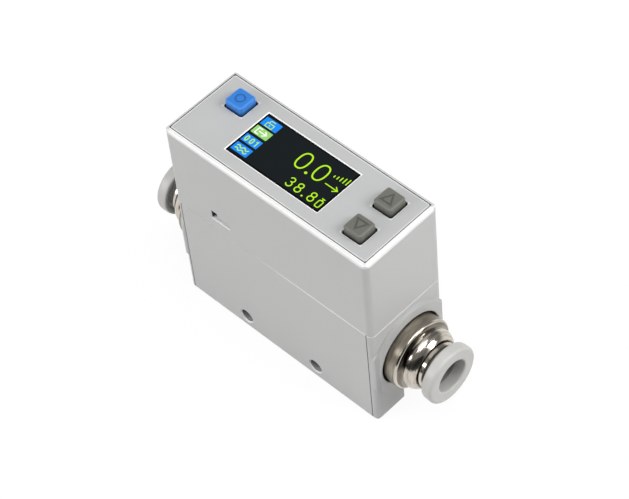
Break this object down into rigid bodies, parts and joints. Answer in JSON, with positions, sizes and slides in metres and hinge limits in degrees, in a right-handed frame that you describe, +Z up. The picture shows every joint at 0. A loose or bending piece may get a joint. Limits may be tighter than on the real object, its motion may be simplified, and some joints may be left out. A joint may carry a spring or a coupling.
{
  "type": "gas mass flow meter",
  "caption": "Compact in-line gas mass flow meter: slim resin body, colour display and keys on top, push-in tube fittings on both ends, cable connector over the inlet.",
  "frame": {"origin": "middle of the underside of the body", "axes": "+X along the flow, from the inlet at -X to the outlet at +X; +Y across the body, away from the side cover; +Z up, through the display panel"},
  "size_m": [0.0842, 0.022, 0.0559],
  "materials": {
    "housing": "fine satin",
    "panel": "fine satin, silvery",
    "window": "clear over black, glossy",
    "display": "satin",
    "board": "satin solder mask",
    "blue_key": "semi-gloss",
    "grey_key": "semi-gloss",
    "black_plastic": "satin",
    "white_plastic": "satin",
    "seal": "matte",
    "steel": "satin",
    "pins": "plated, semi-bright",
    "nickel": "nickel-plated, polished",
    "release": "satin"
  },
  "bodies": {
    "body": {"upper_housing": "housing", "top_panel": "panel", "display_window": "window", "display_module": "display", "display_board": "board", "key_switches": "steel", "main_board": "board", "board_chips": "black_plastic", "board_link": "black_plastic", "board_frame": "white_plastic", "frame_screws": "steel", "connector_shroud": "housing", "connector_pins": "pins", "housing_gasket": "seal", "sensor_board": "board", "sensor_chip": "steel", "sensor_gasket": "seal", "sensor_link": "black_plastic", "flow_body": "housing", "side_cover": "housing", "flow_element": "white_plastic", "flow_screens": "steel", "inlet_fitting": "nickel", "outlet_fitting": "nickel", "inlet_o_ring": "seal", "outlet_o_ring": "seal", "inlet_seal": "seal", "outlet_seal": "seal", "inlet_chuck": "steel", "outlet_chuck": "steel", "inlet_guide": "nickel", "outlet_guide": "nickel", "inlet_clip": "steel", "outlet_clip": "steel"},
    "set_key": {"set_key": "blue_key", "set_plunger": "black_plastic"},
    "up_key": {"up_key": "grey_key", "up_plunger": "black_plastic"},
    "down_key": {"down_key": "grey_key", "down_plunger": "black_plastic"},
    "inlet_release": {"inlet_release": "release"},
    "outlet_release": {"outlet_release": "release"}
  },
  "joints": [
    {"name": "set_key_press", "type": "slide", "parent": "body", "child": "set_key", "axis": [0, 0, -1], "range_m": [0, 0.0005], "stiffness_N_per_m": 800, "springref_m": -0.0005},
    {"name": "up_key_press", "type": "slide", "parent": "body", "child": "up_key", "axis": [0, 0, -1], "range_m": [0, 0.0005], "stiffness_N_per_m": 800, "springref_m": -0.0005},
    {"name": "down_key_press", "type": "slide", "parent": "body", "child": "down_key", "axis": [0, 0, -1], "range_m": [0, 0.0005], "stiffness_N_per_m": 800, "springref_m": -0.0005},
    {"name": "inlet_release_push", "type": "slide", "parent": "body", "child": "inlet_release", "axis": [1, 0, 0], "range_m": [0, 0.0015], "stiffness_N_per_m": 500, "springref_m": -0.0005},
    {"name": "outlet_release_push", "type": "slide", "parent": "body", "child": "outlet_release", "axis": [-1, 0, 0], "range_m": [0, 0.0015], "stiffness_N_per_m": 500, "springref_m": -0.0005}
  ]
}
